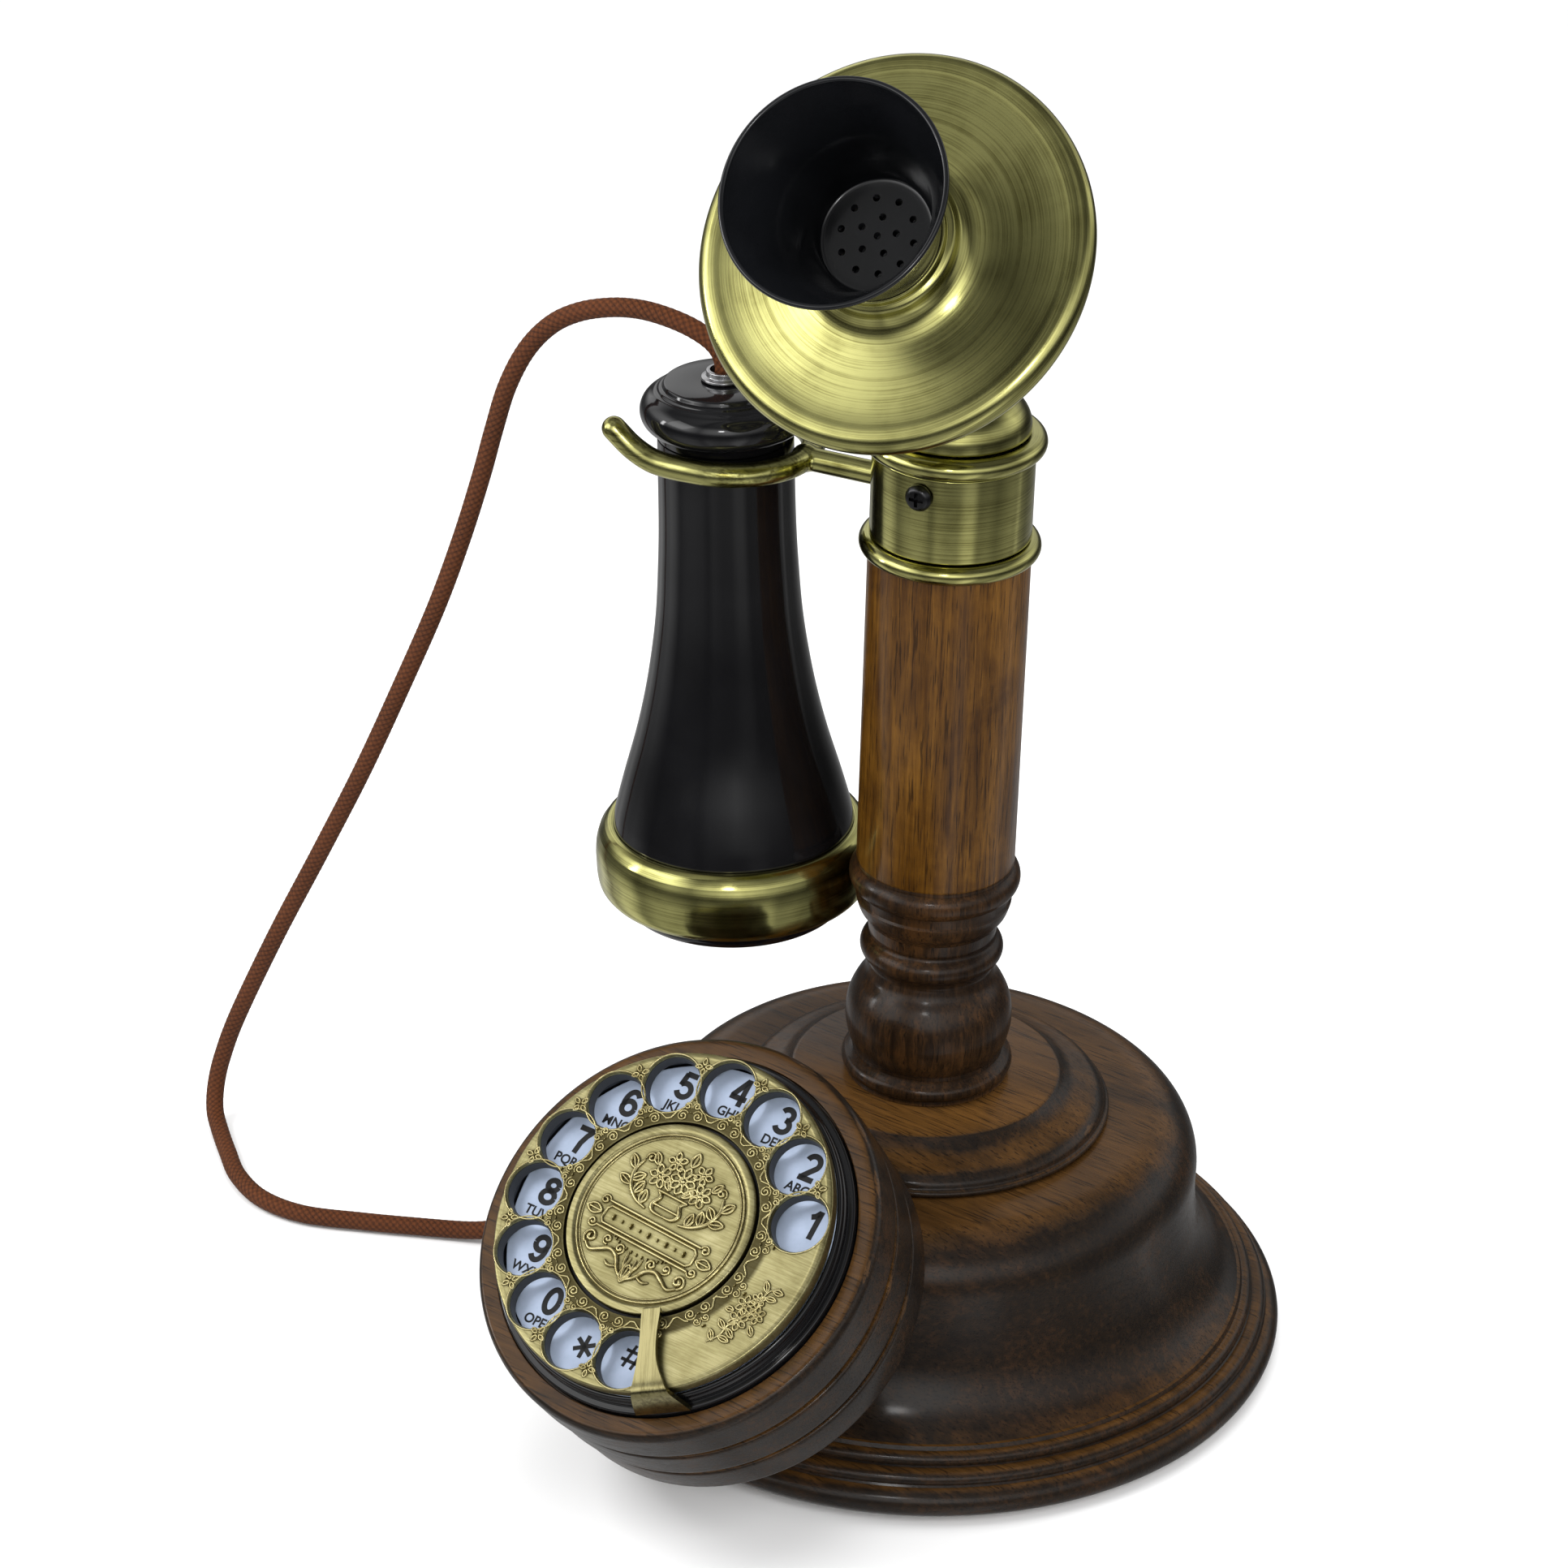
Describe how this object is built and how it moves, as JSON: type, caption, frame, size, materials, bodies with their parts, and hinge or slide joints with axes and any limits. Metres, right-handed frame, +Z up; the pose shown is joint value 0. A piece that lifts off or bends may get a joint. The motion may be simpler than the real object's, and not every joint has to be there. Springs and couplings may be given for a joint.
{
  "type": "candlestick telephone",
  "caption": "Candlestick telephone with a turned wooden base and column, brass head, tilting transmitter, hung receiver and a rotary dial pod.",
  "frame": {"origin": "centre of the column's axis on the plane that the felt under the base rests on", "axes": "+Z up along the column; -Y is the front, where the dial faces; the receiver hangs on the -X side"},
  "size_m": [0.2684, 0.213, 0.3153],
  "materials": {
    "walnut": "dark walnut stain under gloss varnish",
    "column_wood": "lighter brown stained wood under gloss varnish, grain along the column",
    "head_brass": "brushed antique brass with a green-gold tone",
    "dial_brass": "satin antique brass with engraved scrolls",
    "black_gloss": "polished black moulded plastic",
    "black_matte": "satin black",
    "steel": "plain steel",
    "black_screw": "blackened screw heads",
    "dial_card": "pale blue-white card with black figures",
    "felt": "dark green felt",
    "iron": "plain cast iron",
    "board": "green circuit board",
    "cord_braid": "brown braided cord cover"
  },
  "bodies": {
    "base": {"base_bell": "walnut", "base_tier": "walnut", "base_plate": "black_matte", "base_felt": "felt", "base_screw_1": "steel", "base_screw_2": "steel", "base_screw_3": "steel", "base_screw_4": "steel", "ballast_ring": "iron", "circuit_board": "board", "board_post_left": "steel", "board_post_right": "steel", "ringer_sounder": "black_matte", "line_jack": "black_matte", "cord_bushing": "black_matte", "column": "column_wood", "tie_rod": "steel", "tie_nut_lower": "steel", "tie_nut_upper": "steel", "collar_ring_lower": "head_brass", "collar_sleeve": "head_brass", "collar_screw": "black_screw", "collar_ring_upper": "head_brass", "dome_yoke": "head_brass", "tilt_screw": "black_screw", "tilt_nut": "steel", "hook_pin": "steel", "hook_switch": "black_matte", "dial_pod": "walnut", "dial_bezel": "black_gloss", "number_plate": "dial_card", "dial_case": "steel", "pulse_switch": "black_matte", "finger_stop": "dial_brass", "pod_neck": "walnut", "pod_bolt": "steel", "cord_floor": "cord_braid"},
    "hook": {"hook_lever": "head_brass"},
    "finger_wheel": {"finger_wheel": "dial_brass", "wheel_medallion": "dial_brass", "dial_shaft": "steel", "dial_gear": "steel"},
    "transmitter": {"face_plate": "head_brass", "transmitter_cup": "head_brass", "microphone_capsule": "steel", "mouthpiece_horn": "black_gloss"},
    "receiver": {"receiver_shell": "black_gloss", "receiver_cap": "black_gloss", "receiver_band": "head_brass", "earpiece": "black_gloss", "speaker_capsule": "steel", "cord_clip": "steel", "cord_hanging": "cord_braid"}
  },
  "joints": [
    {"name": "wheel_spin", "type": "hinge", "parent": "base", "child": "finger_wheel", "pos_m": [0, -0.099, 0.0762], "axis": [0, -0.6212, 0.7837], "range_deg": [-335, 0], "stiffness_Nm_per_rad": 0.02, "springref_deg": 28.65},
    {"name": "transmitter_tilt", "type": "hinge", "parent": "base", "child": "transmitter", "pos_m": [0, 0, 0.2435], "axis": [0.9839, 0.1788, 0], "range_deg": [-25, 15]},
    {"name": "receiver_lift", "type": "slide", "parent": "base", "child": "receiver", "axis": [-0.7871, -0.143, 0.6], "range_m": [0, 0.09]},
    {"name": "hook_rise", "type": "hinge", "parent": "base", "child": "hook", "pos_m": [-0.00492, -0.00089, 0.2085], "axis": [-0.1788, 0.9839, 0], "range_deg": [0, 6.1]}
  ],
  "couplings": [
    {"joint": "hook_rise", "follows": "receiver_lift", "rad_per_m": 1.1636}
  ]
}
